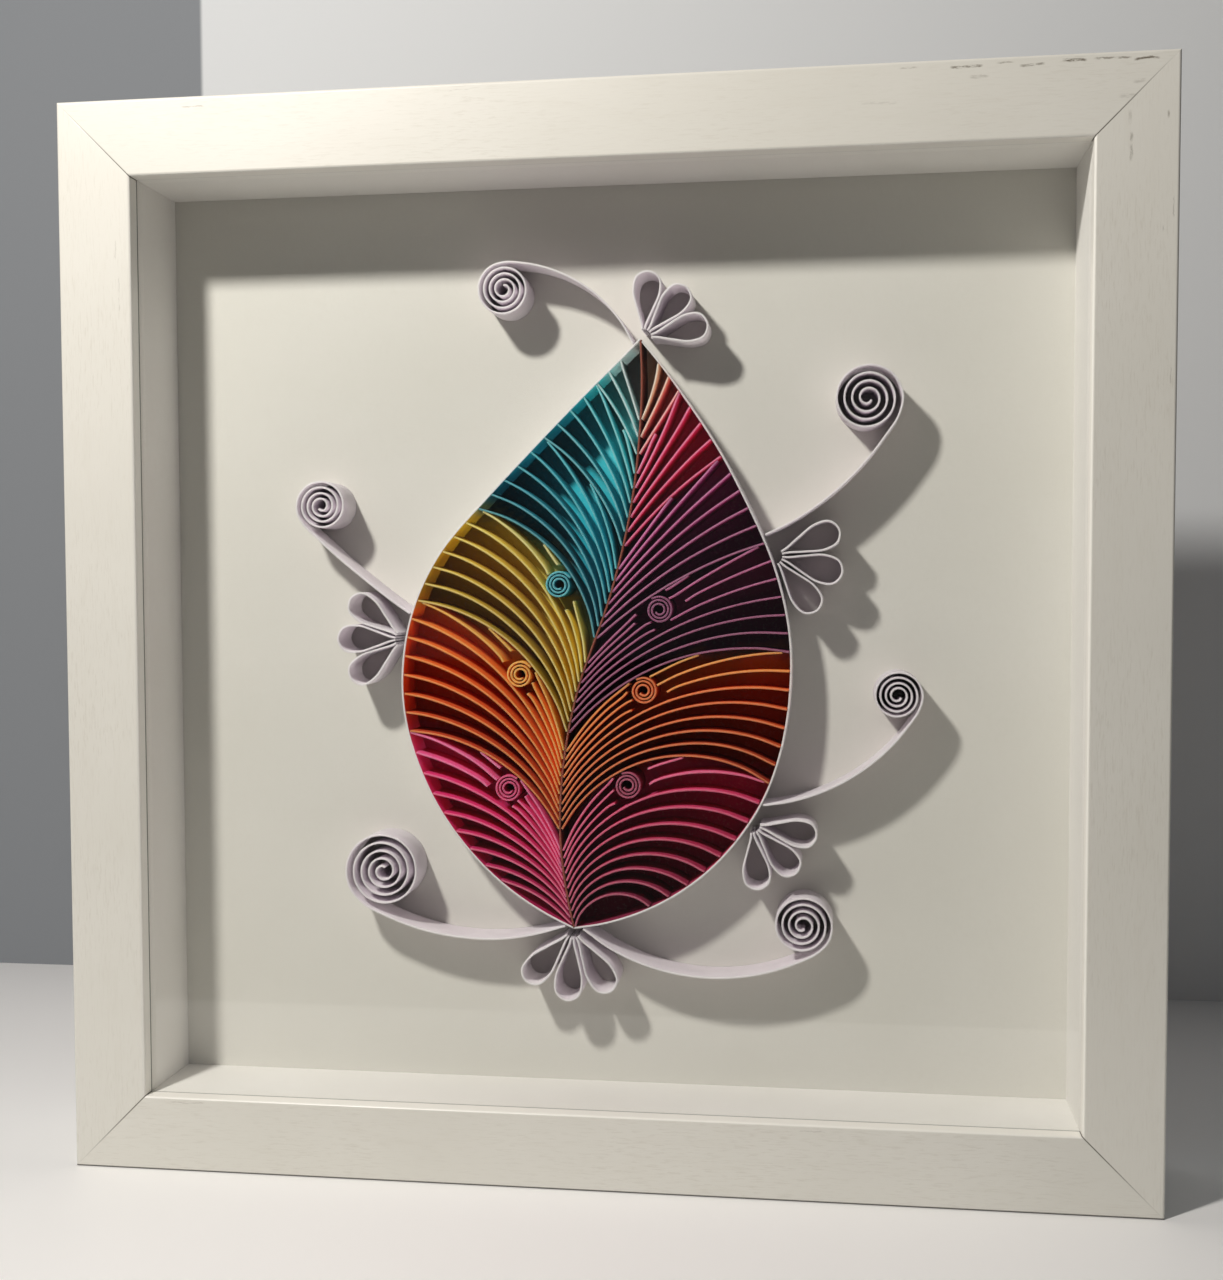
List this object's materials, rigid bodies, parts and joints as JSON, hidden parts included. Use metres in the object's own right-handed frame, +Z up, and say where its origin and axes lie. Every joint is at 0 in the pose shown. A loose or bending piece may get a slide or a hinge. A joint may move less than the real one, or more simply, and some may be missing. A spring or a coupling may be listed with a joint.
{
  "type": "framed quilled paper art",
  "caption": "Square box frame with mitred rails and a glazed front, holding a leaf made of coloured paper strips on edge, with white scrolls, coils and petals.",
  "frame": {"origin": "middle of the footprint, on the surface that the frame stands on", "axes": "+Z up; the glazed front faces -Y; +X to the right as the front is looked at"},
  "size_m": [0.28, 0.045, 0.28],
  "materials": {
    "washed_wood": "satin",
    "clear_glass": "polished",
    "white_liner": "matt",
    "card": "matt",
    "hardboard": "matt",
    "steel": "satin",
    "white_paper": "matt",
    "brown_paper": "matt",
    "crimson_paper": "matt",
    "ember_paper": "matt",
    "gold_paper": "matt",
    "deep_teal_paper": "matt",
    "teal_paper": "matt",
    "pale_teal_paper": "matt",
    "burgundy_paper": "matt",
    "rust_paper": "matt",
    "plum_paper": "matt",
    "damson_paper": "matt",
    "magenta_paper": "matt",
    "coral_paper": "matt",
    "crimson_coil_paper": "matt",
    "amber_coil_paper": "matt",
    "teal_coil_paper": "matt",
    "burgundy_coil_paper": "matt",
    "rust_coil_paper": "matt",
    "plum_coil_paper": "matt"
  },
  "bodies": {
    "root": {"bottom_rail": "washed_wood", "right_rail": "washed_wood", "top_rail": "washed_wood", "left_rail": "washed_wood", "glazing": "clear_glass", "bottom_liner": "white_liner", "right_liner": "white_liner", "top_liner": "white_liner", "left_liner": "white_liner", "art_card": "card", "back_board": "hardboard", "retaining_tabs": "steel", "corner_wedges": "steel", "left_outline": "white_paper", "right_outline": "white_paper", "lower_left_scroll": "white_paper", "lower_right_scroll": "white_paper", "left_scroll": "white_paper", "upper_right_scroll": "white_paper", "top_scroll": "white_paper", "right_scroll": "white_paper", "base_petals": "white_paper", "left_petals": "white_paper", "upper_right_petals": "white_paper", "right_petals": "white_paper", "tip_petals": "white_paper", "midrib": "brown_paper", "crimson_fan": "crimson_paper", "ember_fan": "ember_paper", "gold_fan": "gold_paper", "deep_teal_fan": "deep_teal_paper", "teal_fan": "teal_paper", "pale_teal_fan": "pale_teal_paper", "burgundy_fan": "burgundy_paper", "rust_fan": "rust_paper", "plum_fan": "plum_paper", "damson_fan": "damson_paper", "magenta_fan": "magenta_paper", "coral_fan": "coral_paper", "crimson_coil": "crimson_coil_paper", "amber_coil": "amber_coil_paper", "teal_coil": "teal_coil_paper", "burgundy_coil": "burgundy_coil_paper", "rust_coil": "rust_coil_paper", "plum_coil": "plum_coil_paper"}
  },
  "joints": []
}
